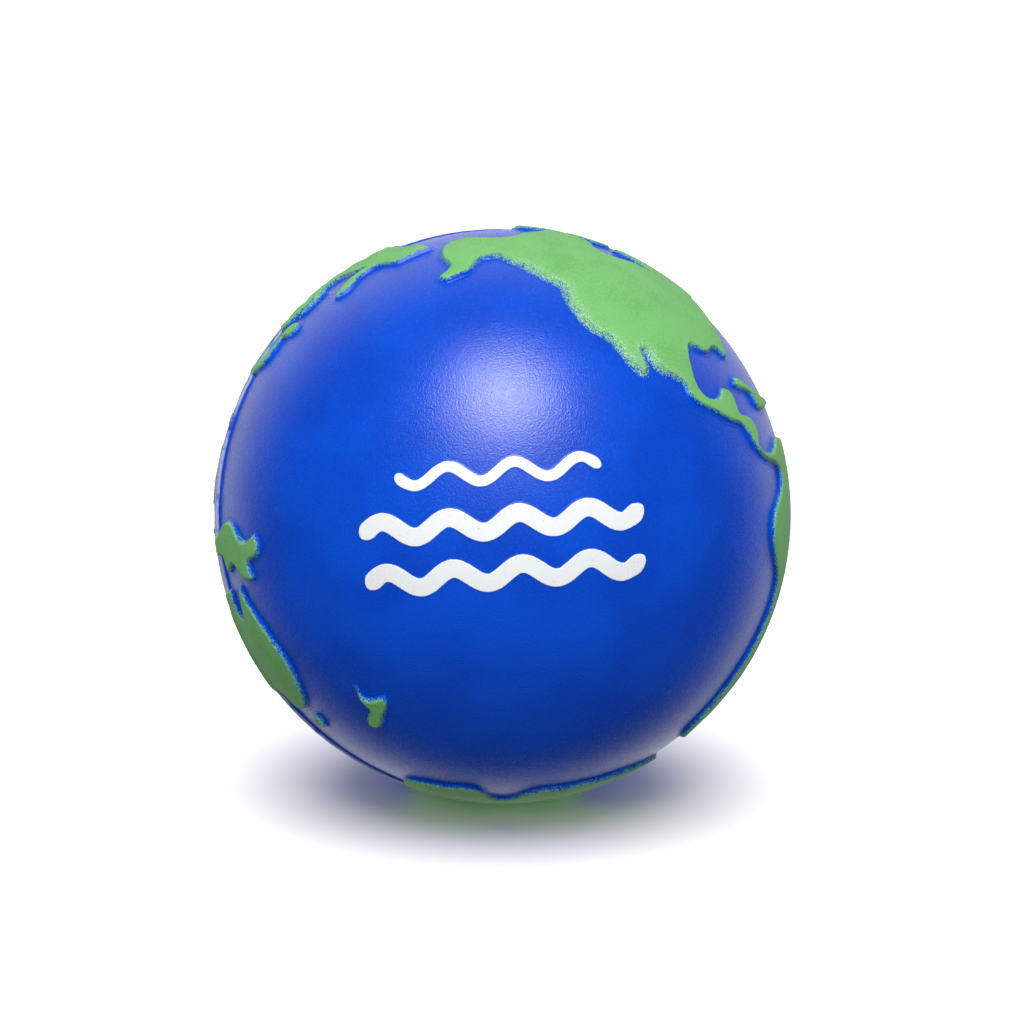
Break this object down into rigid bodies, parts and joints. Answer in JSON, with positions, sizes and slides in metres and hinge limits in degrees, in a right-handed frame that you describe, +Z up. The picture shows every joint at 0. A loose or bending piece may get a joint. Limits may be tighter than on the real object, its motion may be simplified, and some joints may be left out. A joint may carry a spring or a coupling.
{
  "type": "stress ball",
  "caption": "Squeezable foam globe ball with raised land areas, a parting ridge, a printed wave mark and a small resting flat.",
  "frame": {"origin": "middle of the small flat on the underside that the ball rests on", "axes": "+Z up; -Y to the printed side, which is the front; +X to the right seen from the front"},
  "size_m": [0.0712, 0.0707, 0.0707],
  "materials": {
    "sea_skin": "satin, fine leather-like grain, royal blue self-skinned polyurethane foam",
    "land_paint": "satin sprayed flexible paint, light green, soft speckled edges",
    "white_ink": "satin white pad-printed ink",
    "core_foam": "matt fine-celled polyurethane foam"
  },
  "bodies": {
    "root": {"foam_core": "core_foam", "land_afro_eurasia": "land_paint", "land_americas": "land_paint", "land_antarctica": "land_paint", "land_australia": "land_paint", "land_baffin": "land_paint", "land_borneo": "land_paint", "land_cuba": "land_paint", "land_ellesmere": "land_paint", "land_great_britain": "land_paint", "land_greenland": "land_paint", "land_iceland": "land_paint", "land_ireland": "land_paint", "land_japan": "land_paint", "land_java": "land_paint", "land_madagascar": "land_paint", "land_new_guinea": "land_paint", "land_new_zealand": "land_paint", "land_newfoundland": "land_paint", "land_novaya_zemlya": "land_paint", "land_philippines": "land_paint", "land_sakhalin": "land_paint", "land_sri_lanka": "land_paint", "land_sulawesi": "land_paint", "land_sumatra": "land_paint", "land_svalbard": "land_paint", "land_taiwan": "land_paint", "land_tasmania": "land_paint", "ocean_skin": "sea_skin", "parting_ridge": "sea_skin", "print_wave_bottom": "white_ink", "print_wave_middle": "white_ink", "print_wave_top": "white_ink"}
  },
  "joints": []
}
